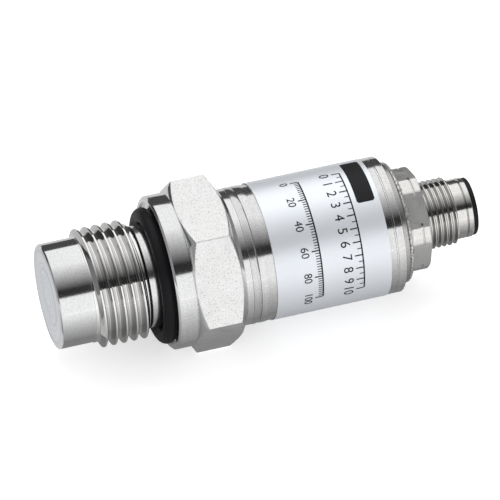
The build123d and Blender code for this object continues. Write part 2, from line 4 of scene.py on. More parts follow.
import bmesh
import bpy
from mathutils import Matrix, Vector


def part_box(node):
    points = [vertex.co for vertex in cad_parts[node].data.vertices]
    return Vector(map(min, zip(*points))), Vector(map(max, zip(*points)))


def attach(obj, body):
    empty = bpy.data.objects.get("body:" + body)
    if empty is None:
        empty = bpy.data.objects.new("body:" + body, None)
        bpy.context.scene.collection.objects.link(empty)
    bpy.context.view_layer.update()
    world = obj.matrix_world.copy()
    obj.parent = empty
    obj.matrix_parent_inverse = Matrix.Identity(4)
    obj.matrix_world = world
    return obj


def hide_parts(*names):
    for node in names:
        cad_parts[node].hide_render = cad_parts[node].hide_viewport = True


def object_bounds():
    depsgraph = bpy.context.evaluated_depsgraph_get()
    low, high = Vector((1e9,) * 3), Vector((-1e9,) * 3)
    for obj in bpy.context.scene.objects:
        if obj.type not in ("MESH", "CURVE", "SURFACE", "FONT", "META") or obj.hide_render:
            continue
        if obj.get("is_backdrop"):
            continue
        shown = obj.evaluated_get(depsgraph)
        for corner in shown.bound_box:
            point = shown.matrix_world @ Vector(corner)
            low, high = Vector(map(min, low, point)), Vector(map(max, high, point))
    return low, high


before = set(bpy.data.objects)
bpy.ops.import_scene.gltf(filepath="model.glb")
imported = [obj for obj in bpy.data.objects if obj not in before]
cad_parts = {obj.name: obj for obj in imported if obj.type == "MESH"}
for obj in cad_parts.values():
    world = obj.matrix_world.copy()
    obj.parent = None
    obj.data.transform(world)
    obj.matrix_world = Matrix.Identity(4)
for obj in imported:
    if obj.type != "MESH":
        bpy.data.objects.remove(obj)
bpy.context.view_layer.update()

# The sensor's axis is X. Sizes are in millimetres, and angles run from Y towards Z.
MM = 0.001
EDGE = 0.07
ARC_STEPS = 4


def span(node):
    """Where a CAD node starts and ends along the axis, and its largest radius."""
    low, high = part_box(node)
    return low.x / MM, high.x / MM, high.z / MM


_, pilot_end, hex_apothem = span("port_body")
tube_start, tube_end, housing_r = span("housing_tube")
weld_start, weld_end, weld_r = span("front_weld_bead")
label_start, label_end, label_r = span("label")
cap_start, cap_end, _ = span("end_cap")
bead_start, bead_end, bead_r = span("connector_weld_bead")
shell_rear, nose_end, flange_r = span("connector_shell")
insert_rear, rim_end, rim_r = span("contact_insert")

# Threads: pitch and radii, the flank's angle from the radius, the crest's share of the pitch, the
# turn by which the helix is shifted, and how softly flank and root meet
Thread = namedtuple("Thread", "pitch root crest flank_angle crest_share offset root_bend")
PROCESS = Thread(1.814, 9.3155, 10.4775, 27.5, 1 / 6, 0.239, 0.3)
PLUG = Thread(1.0, 5.3865, 6.0, 30, 1 / 8, 0.3, 0.2)
# Rows to a turn, the length over which a thread fades at its ends, and the shares of the pitch
# over which its first ridge is left out and rises
THREAD_SAMPLES = 28
RUN_OUT = 0.45
BLUNT_GAP = 0.12
BLUNT_RISE = 0.2

# Port
tip_r = 9.2
tip_length = 6.2
tip_edge = 0.25
seat_r = 8.6
seat_edge = 0.08
bed_r = 7.7
bed_depth = 0.43
diaphragm_thickness = 0.12
capillary_r = 0.75
process_end = 15.7
neck_r = 8.95
neck_run_in = 0.75
neck_end = 19.6
recess_floor = 20.23
recess_r = 12.5
collar_r = 13.5
collar_chamfer = 0.35
collar_end = 23.0
hex_turning_r = 13.3
hex_rounding = 0.16
hex_end = 31.5
port_root_r = 12.5
port_root_end = 32.3
pilot_r = 10.97
rear_bore_r = 8.5
pocket_r = 6.8
pocket_start = 8.4
pocket_end = 21.0
chamber_r = 6.2
chamber_start = 7.0

# Tube, cap and plug
slip_gap = 0.02
tube_inner_r = 11.0
tube_roll_end = weld_end + 1.7
tube_roll_height = 0.1
weld_root_r = 11.75
weld_roll_height = 0.14
seam_depth = 0.2
cap_ring_end = 60.9
cap_step_r = 10.8
flange_seat = 61.3
cap_floor = 60.0
cap_inner_r = 8.47
shell_tail_r = 6.5
plug_apothem = 8.5
plug_turned_r = 9.05
weld_spatter = 0.5
plug_hex_end = 66.5
plug_hex_turn = -24.15
plug_hex_edge = 0.25
plug_edge_steps = 5
plug_flat_steps = 4
plug_groove = (64.85, 65.25, 0.22)
plug_thread_end = 72.6
nose_r = 5.25
nose_groove = (74.15, 74.52, 0.25)
insert_r = 4.75
shell_bore_r = 4.775
cavity_floor = 67.3
cavity_r = 4.25
key_end = 75.7
key_height = 0.65
key_angle = 90
key_half_angle = 6.6
key_draft_angle = 0.4

# Label
label_seam_angle = -20
label_wrap_angle = 356
PRINT_R = (label_r - 0.03, label_r + 0.03)
RULE_WIDTH = 0.24
# Each tick's length, and half the angle that its width takes
LONG_TICK = (1.3, 0.5)
SHORT_TICK = (0.7, 0.35)
NUMBER_GAP = 0.45
# A digit's height as a share of the font's size
DIGIT_SHARE = 0.7
SCALE_ANGLES = (76, 188)

# Studio: strengths of what the metal sees, and how fast the floor's painted shade fades, in metres
FLOOR_GLOW = 0.5
WORLD_LIGHT = 0.75
PAINTED_SHADE_DARKEST = 0.27
PAINTED_SHADE_FAR = 0.94
PAINTED_SHADE_FADE = 0.03
PAINTED_SHADE_START = -0.012


# Nodes
def add_node(tree, kind, inputs=None, **settings):
    """Adds a node. Each input is given a value, or the socket that is linked to it."""
    node = tree.nodes.new(kind)
    for name, value in settings.items():
        setattr(node, name, value)
    for name, value in (inputs or {}).items():
        if isinstance(value, bpy.types.NodeSocket):
            tree.links.new(value, node.inputs[name])
        else:
            node.inputs[name].default_value = value
    return node


def noise(tree, coordinates, scale, detail=3.0, roughness=0.55):
    inputs = {"Vector": coordinates, "Scale": scale, "Detail": detail, "Roughness": roughness}
    return add_node(tree, "ShaderNodeTexNoise", inputs).outputs["Fac"]


def remap(tree, value, low, high, to_low, to_high, clamp=True):
    inputs = {
        "Value": value,
        "From Min": low,
        "From Max": high,
        "To Min": to_low,
        "To Max": to_high,
    }
    return add_node(tree, "ShaderNodeMapRange", inputs, clamp=clamp).outputs["Result"]


def ramp(tree, value, low, low_colour, high, high_colour):
    node = add_node(tree, "ShaderNodeValToRGB", {"Fac": value})
    first, last = node.color_ramp.elements
    first.position = low
    first.color = (*low_colour, 1)
    last.position = high
    last.color = (*high_colour, 1)
    return node.outputs["Color"]


def add_up(tree, first, second, weight):
    inputs = {0: second, 1: weight, 2: first}
    return add_node(tree, "ShaderNodeMath", inputs, operation="MULTIPLY_ADD").outputs["Value"]


def bump(tree, height, distance):
    """distance is the depth in metres between the lowest and highest marks."""
    inputs = {"Height": height, "Distance": distance, "Strength": 1.0}
    return add_node(tree, "ShaderNodeBump", inputs).outputs["Normal"]


def object_coordinates(tree):
    return add_node(tree, "ShaderNodeTexCoord").outputs["Object"]


def lathe_coordinates(tree):
    """Place along the axis and distance from it, so that marks run round as on a lathe."""
    apart = add_node(tree, "ShaderNodeSeparateXYZ", {"Vector": object_coordinates(tree)})
    across = {"Y": apart.outputs["Y"], "Z": apart.outputs["Z"]}
    spoke = add_node(tree, "ShaderNodeCombineXYZ", across).outputs["Vector"]
    radius = add_node(tree, "ShaderNodeVectorMath", {0: spoke}, operation="LENGTH")
    along = {"X": apart.outputs["X"], "Y": radius.outputs["Value"]}
    return add_node(tree, "ShaderNodeCombineXYZ", along).outputs["Vector"]


def shade(material, colour, roughness, normal, metallic=0.0, **values):
    """Sets the shader of a material. Sockets are linked, and plain values are set."""
    tree = material.node_tree
    shader = tree.nodes["Principled BSDF"]
    inputs = {"Base Color": colour, "Roughness": roughness, "Normal": normal, "Metallic": metallic}
    inputs.update(values)
    for name, value in inputs.items():
        if isinstance(value, bpy.types.NodeSocket):
            tree.links.new(value, shader.inputs[name])
        else:
            shader.inputs[name].default_value = value
    return material


def empty_material(name):
    material = bpy.data.materials.new(name)
    material.use_nodes = True
    return material


# Steel
def turned_steel(name, tone, roughness, mark_depth, mark_scale=7000.0, broad_marks=0.5):
    """Steel with fine lathe marks that run round it, and soft patches of handling."""
    material = empty_material(name)
    tree = material.node_tree
    lathe = lathe_coordinates(tree)
    fine = noise(tree, lathe, mark_scale, 2.0)
    broad = noise(tree, lathe, mark_scale / 9, 1.0)
    place = object_coordinates(tree)
    patches = noise(tree, place, 140.0, 4.0)
    grain = noise(tree, place, 3400.0, 2.0)
    dark = tuple(0.82 * part for part in tone)
    marks = add_up(tree, grain, add_up(tree, fine, patches, 0.7), 0.6)
    colour = ramp(tree, remap(tree, marks, 0.75, 1.25, 0, 1), 0.0, dark, 1.0, tone)
    rough = remap(tree, patches, 0.3, 0.7, 0.75 * roughness, 1.35 * roughness)
    normal = bump(tree, add_up(tree, fine, broad, broad_marks), mark_depth)
    tangent = add_node(tree, "ShaderNodeTangent", direction_type="RADIAL", axis="X")
    brushed = {"Anisotropic": 0.35, "Tangent": tangent.outputs["Tangent"]}
    return shade(material, colour, rough, normal, 1.0, **brushed)


def threaded_steel(name, tone, roughness, flank_share):
    """Smooth thread with painted shade: its colour darkens where the surface slopes along the
    axis, so the flanks are darker than the crests and roots. flank_share is the flanks' share of
    the tone.
    """
    material = empty_material(name)
    tree = material.node_tree
    # Painted shade: the slope of the surface along the axis darkens the flanks
    normal = add_node(tree, "ShaderNodeTexCoord").outputs["Normal"]
    along = add_node(tree, "ShaderNodeSeparateXYZ", {"Vector": normal}).outputs["X"]
    flank_shade_mask = add_node(tree, "ShaderNodeMath", {0: along}, operation="ABSOLUTE").outputs["Value"]
    patches = noise(tree, object_coordinates(tree), 700.0, 3.0)
    dark = tuple(flank_share * part for part in tone)
    colour = ramp(tree, add_up(tree, flank_shade_mask, patches, 0.15), 0.4, tone, 0.98, dark)
    rough = remap(tree, patches, 0.3, 0.7, 0.7 * roughness, 1.3 * roughness)
    return shade(material, colour, rough, bump(tree, patches, 1.2e-6), 1.0)


def milled_steel(name, tone, roughness, spot_tone):
    """Milled flats: a fine grain with small dark spots."""
    material = empty_material(name)
    tree = material.node_tree
    place = object_coordinates(tree)
    grain = noise(tree, place, 6200.0, 1.0)
    patches = noise(tree, place, 420.0, 3.0)
    colour = ramp(tree, grain, 0.3, spot_tone, 0.4, tone)
    rough = remap(tree, patches, 0.3, 0.7, 0.85 * roughness, 1.25 * roughness)
    return shade(material, colour, rough, bump(tree, grain, 2.5e-6), 1.0)


def pressed_steel(name, tone, roughness):
    """Thin sheet with faint rings round its middle."""
    material = empty_material(name)
    tree = material.node_tree
    lathe = lathe_coordinates(tree)
    radius = add_node(tree, "ShaderNodeSeparateXYZ", {"Vector": lathe}).outputs["Y"]
    stretched = add_node(tree, "ShaderNodeCombineXYZ", {"X": radius}).outputs["Vector"]
    band = noise(tree, stretched, 1300.0, 1.0)
    grain = noise(tree, object_coordinates(tree), 3000.0, 3.0)
    dark = tuple(0.78 * part for part in tone)
    colour = ramp(tree, add_up(tree, band, grain, 0.15), 0.42, dark, 0.62, tone)
    rough = remap(tree, grain, 0.3, 0.7, 0.8 * roughness, 1.2 * roughness)
    return shade(material, colour, rough, bump(tree, band, 2e-6), 1.0)


def weld_steel(name):
    """A rough, speckled weld."""
    material = empty_material(name)
    tree = material.node_tree
    place = object_coordinates(tree)
    lumps = noise(tree, place, 2300.0, 4.0, 0.7)
    colour = ramp(tree, lumps, 0.36, (0.26, 0.25, 0.24), 0.55, (0.92, 0.91, 0.9))
    rough = remap(tree, lumps, 0.3, 0.7, 0.55, 0.3)
    return shade(material, colour, rough, bump(tree, lumps, 4e-5), 1.0)


def foil(name):
    """Satin label foil with a very fine grain."""
    material = empty_material(name)
    tree = material.node_tree
    place = object_coordinates(tree)
    grain = noise(tree, place, 9000.0, 2.0)
    clouds = noise(tree, place, 90.0, 2.0)
    colour = ramp(tree, clouds, 0.3, (0.9, 0.935, 0.985), 0.7, (0.925, 0.955, 1.0))
    rough = remap(tree, grain, 0.3, 0.7, 0.38, 0.48)
    return shade(material, colour, rough, bump(tree, grain, 1.5e-6), 0.7)


def dull(name, colour, roughness, grain_scale, depth, spread=0.35, metallic=0.0, **values):
    """Rubber, plastic, glass, ceramic and laminate: one colour with a grain of its own scale."""
    material = empty_material(name)
    tree = material.node_tree
    place = object_coordinates(tree)
    grain = noise(tree, place, grain_scale, 4.0)
    dark = tuple((1 - spread) * part for part in colour)
    shades = ramp(tree, grain, 0.3, dark, 0.7, colour)
    rough = remap(tree, grain, 0.3, 0.7, 0.8 * roughness, 1.2 * roughness)
    return shade(material, shades, rough, bump(tree, grain, depth), metallic, **values)


turned = turned_steel("turned_steel", (0.896, 0.899, 0.905), 0.1, 1.1e-6, 9000.0, 0.15)
tube_steel = turned_steel("tube_steel", (0.85, 0.85, 0.848), 0.11, 1.5e-6, 5200.0, 0.35)
# The front weld's steel, a darker tone than the tube's
darker_weld = turned_steel("darker_weld_steel", (0.8, 0.798, 0.795), 0.13, 2e-6, 5200.0, 0.5)
plug_steel = turned_steel("plug_steel", (0.9, 0.89, 0.87), 0.11, 2e-6, 9000.0, 0.3)
# Threads with painted shade on their flanks
process_thread = threaded_steel("process_thread_painted_shade", (0.97, 0.965, 0.955), 0.07, 0.62)
plug_thread = threaded_steel("plug_thread_painted_shade", (0.95, 0.94, 0.92), 0.09, 0.5)
flats = milled_steel("milled_flats", (0.92, 0.92, 0.915), 0.3, (0.36, 0.36, 0.36))
plug_flats = milled_steel("plug_flats", (0.8, 0.8, 0.79), 0.4, (0.6, 0.6, 0.59))
neck_steel = turned_steel("neck_steel", (0.88, 0.88, 0.885), 0.14, 1.5e-6, 7000.0, 0.2)
# Darker steel for the cap's step: painted shade in the step
painted_step_shade = turned_steel("cap_step_painted_shade", (0.6, 0.59, 0.575), 0.24, 2e-6, 5200.0, 0.35)
weld = weld_steel("weld_steel")
membrane = pressed_steel("diaphragm_steel", (0.87, 0.9, 0.94), 0.22)
DARK_GLOSS = {"Specular IOR Level": 0.22}
rubber = dull("seal_rubber", (0.006, 0.006, 0.008), 0.5, 1800.0, 6e-6, **DARK_GLOSS)
plastic = dull("insert_plastic", (0.009, 0.009, 0.01), 0.42, 2500.0, 4e-6, **DARK_GLOSS)
gold = dull("contact_metal", (0.93, 0.72, 0.36), 0.2, 3500.0, 2e-6, 0.12, 1.0)
label_foil = foil("label_foil")
ink = dull("label_ink", (0.012, 0.012, 0.014), 0.5, 4000.0, 1e-6, **DARK_GLOSS)

# Inner nodes keep their solids, with a material for each slot
INNER_MATERIALS = {
    "turned_steel": turned,
    "diaphragm_steel": membrane,
    "seal_rubber": rubber,
    "label_foil": label_foil,
    "insert_plastic": plastic,
    "contact_metal": gold,
    "seal_glass": dull("seal_glass", (0.1, 0.2, 0.12), 0.12, 1500.0, 2e-6),
    "filler_ceramic": dull("filler_ceramic", (0.85, 0.84, 0.8), 0.6, 2500.0, 5e-6, 0.1),
    "silicon": dull("silicon", (0.2, 0.21, 0.24), 0.15, 900.0, 1e-6, 0.2, 0.7),
    "board_laminate": dull("board_laminate", (0.03, 0.2, 0.07), 0.4, 1600.0, 6e-6),
    "chip_plastic": dull("chip_plastic", (0.025, 0.025, 0.027), 0.5, 3000.0, 5e-6),
    "component_ceramic": dull("component_ceramic", (0.55, 0.42, 0.28), 0.5, 2500.0, 4e-6, 0.2),
    "lead_sleeve": dull("lead_sleeve", (0.5, 0.06, 0.05), 0.45, 1800.0, 4e-6),
}


# Meshes: rows of (x, radius) points, one point for each angle
def even_angles(count):
    return [math.tau * step / count for step in range(count)]


def rounded(outline, edge=EDGE, closed=False):
    """An outline of (x, radius) points, whose corners become small arcs. A third value is a
    corner's own radius."""
    points = []
    count = len(outline)
    for number, corner in enumerate(outline):
        radius = corner[2] if len(corner) > 2 else edge
        here = Vector(corner[:2])
        if radius == 0 or (not closed and number in (0, count - 1)):
            points.append(tuple(here))
            continue
        to_last = Vector(outline[number - 1][:2]) - here
        to_next = Vector(outline[(number + 1) % count][:2]) - here
        half = to_last.angle(to_next) / 2
        reach = min(radius / math.tan(half), 0.45 * to_last.length, 0.45 * to_next.length)
        centre = here + (to_last.normalized() + to_next.normalized()).normalized() * (
            reach / math.cos(half)
        )
        start = here + to_last.normalized() * reach - centre
        end = here + to_next.normalized() * reach - centre
        first = math.atan2(start.y, start.x)
        turn = (math.atan2(end.y, end.x) - first + math.pi) % math.tau - math.pi
        for step in range(ARC_STEPS + 1):
            angle = first + turn * step / ARC_STEPS
            points.append(
                (
                    centre.x + start.length * math.cos(angle),
                    centre.y + start.length * math.sin(angle),
                )
            )
    return points


def rings(outline, angles):
    """One row for each point of an outline that is turned round the axis."""
    return [[point] * len(angles) for point in outline]


def add_strip(bm, rows, angles, material, shift=0, middle=(0.0, 0.0), open_ends=False):
    """Joins each row to the next one. shift is how many rows a helix climbs in one turn."""
    grid = []
    for row in rows:
        line = []
        for angle, (x, radius) in zip(angles, row):
            y = middle[0] + radius * math.cos(angle)
            z = middle[1] + radius * math.sin(angle)
            line.append(bm.verts.new((x * MM, y * MM, z * MM)))
        grid.append(line)
    last = len(angles) - 1
    for low in range(len(rows) - 1):
        for column in range(last):
            corners = (
                grid[low][column],
                grid[low][column + 1],
                grid[low + 1][column + 1],
                grid[low + 1][column],
            )
            bm.faces.new(corners).material_index = material
        if not open_ends and low + 1 + shift < len(rows):
            corners = (
                grid[low][last],
                grid[low + shift][0],
                grid[low + 1 + shift][0],
                grid[low + 1][last],
            )
            bm.faces.new(corners).material_index = material
    return grid


def finish_piece(bm, name, materials, nodes=(), sharp=32.0):
    """Welds the strips together, marks the sharp edges, and gives the piece to its body."""
    bmesh.ops.remove_doubles(bm, verts=bm.verts, dist=1e-6)
    bmesh.ops.dissolve_degenerate(bm, edges=bm.edges, dist=1e-7)
    bmesh.ops.recalc_face_normals(bm, faces=bm.faces)
    limit = math.radians(sharp)
    for edge in bm.edges:
        edge.smooth = len(edge.link_faces) != 2 or edge.calc_face_angle() < limit
    for face in bm.faces:
        face.smooth = True
    mesh = bpy.data.meshes.new(name)
    bm.to_mesh(mesh)
    bm.free()
    for material in materials:
        mesh.materials.append(material)
    piece = bpy.data.objects.new(name, mesh)
    bpy.context.scene.collection.objects.link(piece)
    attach(piece, "root")
    if nodes:
        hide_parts(*nodes)
    return piece


def turned_piece(name, outline, material, nodes, count=192, middle=(0.0, 0.0), edge=EDGE):
    """A closed outline turned round the axis."""
    bm = bmesh.new()
    angles = even_angles(count)
    points = rounded(outline, edge, closed=True)
    add_strip(bm, rings(points + points[:1], angles), angles, 0, middle=middle)
    return finish_piece(bm, name, [material], nodes)


# Threads
def eased(share):
    share = min(max(share, 0.0), 1.0)
    return share * share * (3 - 2 * share)


def soft_limit(value, root_bend, crest_bend=0.06):
    """Goes from 0 to 1 as value does, with a rounded bend at each end."""
    if value <= -root_bend:
        return 0.0
    if value < root_bend:
        return (value + root_bend) ** 2 / (4 * root_bend)
    if value <= 1 - crest_bend:
        return value
    if value < 1 + crest_bend:
        return 1 - (1 - value + crest_bend) ** 2 / (4 * crest_bend)
    return 1.0


def thread_rows(start, end, thread, angles):
    """A right-hand thread whose rows follow the helix, and how many rows make one turn. It has a
    blunt start, and fades out at both ends."""
    pitch = thread.pitch
    depth = thread.crest - thread.root
    flank_share = depth * math.tan(math.radians(thread.flank_angle)) / pitch
    count = math.ceil((end - start) / pitch * THREAD_SAMPLES)
    rows = []
    for number in range(-THREAD_SAMPLES, count + 1):
        row = []
        for angle in angles:
            climb = number / THREAD_SAMPLES + (angle - angles[0]) / math.tau
            x = min(max(start + climb * pitch, start), end)
            phase = ((x - start) / pitch - angle / math.tau + thread.offset) % 1
            to_root = thread.crest_share / 2 + flank_share - abs(phase - 0.5)
            height = soft_limit(to_root / flank_share, thread.root_bend)
            ridge = x + (0.5 - phase) * pitch - start
            height *= eased((ridge / pitch - BLUNT_GAP) / BLUNT_RISE)
            height *= eased(min(x - start, end - x) / RUN_OUT)
            row.append((x, thread.root + depth * height))
        rows.append(row)
    return rows, THREAD_SAMPLES


# Port
def corner_angles(apothem, rounding):
    """Where the middle of a hexagon's rounded corner lies, and the angle that the corner takes
    to each side."""
    centre = (apothem - rounding) / math.cos(math.radians(30))
    reach = math.atan2(rounding / 2, centre + rounding * math.cos(math.radians(30)))
    return centre, reach


def port_hex_radius(angle):
    centre, reach = corner_angles(hex_apothem, hex_rounding)
    off_corner = (angle + math.pi / 6) % (math.pi / 3) - math.pi / 6
    if abs(off_corner) < reach:
        side = centre * math.sin(off_corner)
        return centre * math.cos(off_corner) + math.sqrt(hex_rounding**2 - side**2)
    return hex_apothem / math.cos(math.pi / 6 - abs(off_corner))


def port_angles():
    """Even steps along each flat, and small ones round each corner."""
    reach = corner_angles(hex_apothem, hex_rounding)[1]
    steps = 45
    angles = []
    for corner in range(6):
        middle = corner * math.pi / 3
        angles += [middle + share * reach for share in (-1, -0.5, 0, 0.5, 1)]
        gap = math.pi / 3 - 2 * reach
        angles += [middle + reach + gap * step / steps for step in range(1, steps)]
    return angles


def port_hex_rows(angles):
    """The hexagon between its two turned ends, whose cones cut each flat in an arc."""
    slope = math.tan(math.radians(30))
    front_cone, front_break, rear_break, rear_cone = [], [], [], []
    for angle in angles:
        radius = port_hex_radius(angle)
        rise = (radius - hex_turning_r) * slope
        front_cone.append((collar_end + rise - EDGE * slope, radius - EDGE))
        front_break.append((collar_end + rise + EDGE, radius))
        rear_break.append((hex_end - rise - EDGE, radius))
        rear_cone.append((hex_end - rise + EDGE * slope, radius - EDGE))
    return front_cone, front_break, rear_break, rear_cone


def neck_fillet():
    """The hollow arc from the thread's root down to the neck, tangent to the neck."""
    drop = PROCESS.root - neck_r
    radius = (neck_run_in**2 + drop**2) / (2 * drop)
    steps = 12
    points = []
    for step in range(1, steps + 1):
        left = neck_run_in * (1 - step / steps)
        height = radius - math.sqrt(radius**2 - left**2)
        points.append((process_end + neck_run_in - left, neck_r + height))
    return points


def make_port():
    bm = bmesh.new()
    angles = port_angles()
    front = [
        (bed_depth, capillary_r),
        (bed_depth, bed_r),
        (diaphragm_thickness, bed_r, 0.02),
        (diaphragm_thickness, seat_r, 0.02),
        (seat_edge, seat_r, 0.02),
        (0, seat_r + seat_edge, 0.02),
        (0, tip_r - tip_edge, 0.05),
        (tip_edge, tip_r, 0.05),
        (tip_length, tip_r, 0.05),
        (tip_length, PROCESS.root),
    ]
    add_strip(bm, rings(rounded(front), angles), angles, 0)
    rows, shift = thread_rows(tip_length, process_end, PROCESS, angles)
    add_strip(bm, rows, angles, 1, shift)
    neck = [
        (process_end, PROCESS.root),
        *[(*point, 0) for point in neck_fillet()],
        (recess_floor, neck_r),
    ]
    add_strip(bm, rings(rounded(neck), angles), angles, 3)
    collar = [
        (recess_floor, neck_r),
        (recess_floor, recess_r, 0.1),
        (neck_end, recess_r, 0.08),
        (neck_end, collar_r - collar_chamfer, 0.06),
        (neck_end + collar_chamfer, collar_r, 0.06),
        (collar_end, collar_r, 0.08),
        (collar_end, hex_turning_r),
    ]
    add_strip(bm, rings(rounded(collar), angles), angles, 0)
    front_cone, front_break, rear_break, rear_cone = port_hex_rows(angles)
    front_ring = rings([(collar_end, hex_turning_r)], angles)
    rear_ring = rings([(hex_end, hex_turning_r)], angles)
    add_strip(bm, front_ring + [front_cone], angles, 0)
    add_strip(bm, [front_cone, front_break, rear_break, rear_cone], angles, 2)
    add_strip(bm, [rear_cone] + rear_ring, angles, 0)
    spigot_end = tube_start - 0.01
    rear = [
        (hex_end, hex_turning_r),
        (hex_end, port_root_r, 0.05),
        (port_root_end, housing_r, 0.1),
        (spigot_end, housing_r, 0.04),
        (spigot_end, pilot_r, 0.04),
        (pilot_end, pilot_r),
        (pilot_end, rear_bore_r),
        (pocket_end, rear_bore_r),
        (pocket_end, pocket_r),
        (pocket_start, pocket_r),
        (pocket_start, chamber_r),
        (chamber_start, chamber_r),
        (chamber_start, capillary_r),
        (bed_depth, capillary_r),
    ]
    add_strip(bm, rings(rounded(rear), angles), angles, 0)
    materials = [turned, process_thread, flats, neck_steel]
    finish_piece(bm, "port", materials, ["port_body"])


def make_diaphragm():
    """A flat centre, three pressed rings and the welded land."""
    centre_r = 2.5
    ring_count = 3
    depth = 0.16
    outer_r = seat_r - slip_gap
    pitch = (bed_r - centre_r) / ring_count
    samples = 12 * ring_count
    front = [(0.0, 0.0)]
    for step in range(samples + 1):
        radius = centre_r + (bed_r - centre_r) * step / samples
        wave = (1 - math.cos(math.tau * (radius - centre_r) / pitch)) / 2
        front.append((depth * wave, radius))
    front.append((0.0, outer_r - seat_edge))
    front.append((seat_edge, outer_r))
    back = [(x + diaphragm_thickness, radius) for x, radius in reversed(front[:-2])]
    bm = bmesh.new()
    angles = even_angles(180)
    rows = front + [(diaphragm_thickness, outer_r)] + back
    add_strip(bm, rings(rows, angles), angles, 0)
    finish_piece(bm, "diaphragm", [membrane], ["flush_diaphragm"])


def make_sealing_ring():
    low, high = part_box("sealing_o_ring")
    section_r = (high.x - low.x) / MM / 2
    centre_x = (high.x + low.x) / MM / 2
    middle_z = (high.z + low.z) / MM / 2
    centre_r = (high.z - low.z) / MM / 2 - section_r
    outline = []
    for angle in even_angles(40):
        x = centre_x + section_r * math.cos(angle)
        outline.append((x, centre_r + section_r * math.sin(angle), 0))
    middle = (0, middle_z)
    turned_piece("sealing_ring", outline, rubber, ["sealing_o_ring"], 160, middle)


# Housing
def roll(start, end, foot_r, height):
    """A shallow roll, as a weld leaves it."""
    steps = 12
    points = []
    for step in range(steps + 1):
        share = step / steps
        rise = height * math.sin(math.pi * share) ** 0.7
        points.append((start + (end - start) * share, foot_r + rise, 0))
    return points


def make_housing():
    tube = [
        (tube_start, tube_inner_r),
        (tube_start, weld_root_r),
        (weld_end, weld_root_r, 0.02),
        *roll(weld_end + 0.02, tube_roll_end, housing_r - 0.06, tube_roll_height),
        (tube_end - seam_depth, housing_r, 0.05),
        (tube_end, housing_r - seam_depth, 0.03),
        (tube_end, tube_inner_r),
    ]
    turned_piece("tube", tube, tube_steel, ["housing_tube"])
    weld_outline = [
        (weld_start, weld_root_r, 0),
        *roll(weld_start + 0.08, weld_end - 0.02, weld_r - 0.1, weld_roll_height),
        (weld_end, weld_root_r, 0),
    ]
    turned_piece("front_weld", weld_outline, darker_weld, ["front_weld_bead"])
    low, high, seam_r = span("rear_weld_bead")
    seam_foot = housing_r - seam_depth + 0.01
    seam = [((low + high) / 2, seam_foot, 0), (high, seam_r, 0.03), (low, seam_r, 0.03)]
    turned_piece("rear_seam", seam, turned, ["rear_weld_bead"])
    cap = [
        (cap_start, cap_inner_r),
        (cap_start, pilot_r),
        (tube_end, pilot_r),
        (tube_end, housing_r - seam_depth, 0.03),
        (tube_end + seam_depth, housing_r, 0.05),
        (cap_ring_end, housing_r, 0.12),
        (cap_ring_end, cap_step_r, 0.05),
        (cap_end, cap_step_r, 0.12),
        (cap_end, flange_r + slip_gap),
        (flange_seat, flange_r + slip_gap),
        (flange_seat, shell_tail_r + slip_gap),
        (cap_floor, shell_tail_r + slip_gap),
        (cap_floor, cap_inner_r),
    ]
    piece = turned_piece("cap", cap, tube_steel, ["end_cap"])
    # The cap's step faces get the darker steel, as painted shade
    piece.data.materials.append(painted_step_shade)
    step_start = (cap_ring_end + 0.02) * MM
    step_inner_r = (flange_r + 0.1) * MM
    for face in piece.data.polygons:
        reach = math.hypot(face.center.y, face.center.z)
        if face.center.x > step_start and reach > step_inner_r:
            face.material_index = 1


def make_plug_weld():
    """Overlapping weld ripples on a rounded ring."""
    bm = bmesh.new()
    angles = even_angles(300)
    width = bead_end - bead_start
    steps = 12
    ripples = 34
    ripple_bend = 2.2
    ripple_height = 0.045
    lump_height = 0.015
    base_height = bead_r - flange_r - ripple_height - lump_height
    rows = []
    for step in range(steps + 1):
        share = step / steps
        crown = math.sin(math.pi * share) ** 0.5
        skew = ripple_bend * (share - 0.5) ** 2
        row = []
        for angle in angles:
            ripple = ripple_height * abs(math.sin(ripples * angle / 2 + skew))
            lump = lump_height * math.sin(7 * angle + 5 * share) * math.sin(11 * angle)
            height = crown * (base_height + ripple + lump)
            row.append((bead_start + width * share, flange_r + height))
        rows.append(row)
    rows.append(rows[0])
    add_strip(bm, rows, angles, 0)
    finish_piece(bm, "plug_weld", [weld], ["connector_weld_bead"], sharp=50)


# Plug
def plug_limits():
    """Radii at which the plug's hexagon is turned off, from its land down to its chamfer."""
    fall = plug_hex_edge / plug_edge_steps
    return [plug_turned_r - fall * step for step in range(plug_edge_steps + 1)]


def plug_angles():
    """Even steps over each flat, and one angle for each radius at which a land ends."""
    steps = plug_flat_steps
    radii = plug_limits() + [plug_turned_r - plug_groove[2]]
    ends = sorted(math.acos(plug_apothem / radius) for radius in radii)
    inner, outer = ends[0], ends[-1]
    offsets = [inner * step / steps for step in range(steps)]
    offsets += ends
    offsets += [outer + (math.pi / 6 - outer) * step / steps for step in range(1, steps + 1)]
    angles = []
    for corner in range(6):
        normal = math.radians(plug_hex_turn + 30 + 60 * corner)
        angles += [normal - offset for offset in reversed(offsets[1:])]
        angles += [normal + offset for offset in offsets[:-1]]
    return angles


def plug_row(x, limit, angles):
    row = []
    for angle in angles:
        off_normal = (angle - math.radians(plug_hex_turn)) % (math.pi / 3) - math.pi / 6
        row.append((x, min(limit, plug_apothem / math.cos(off_normal))))
    return row


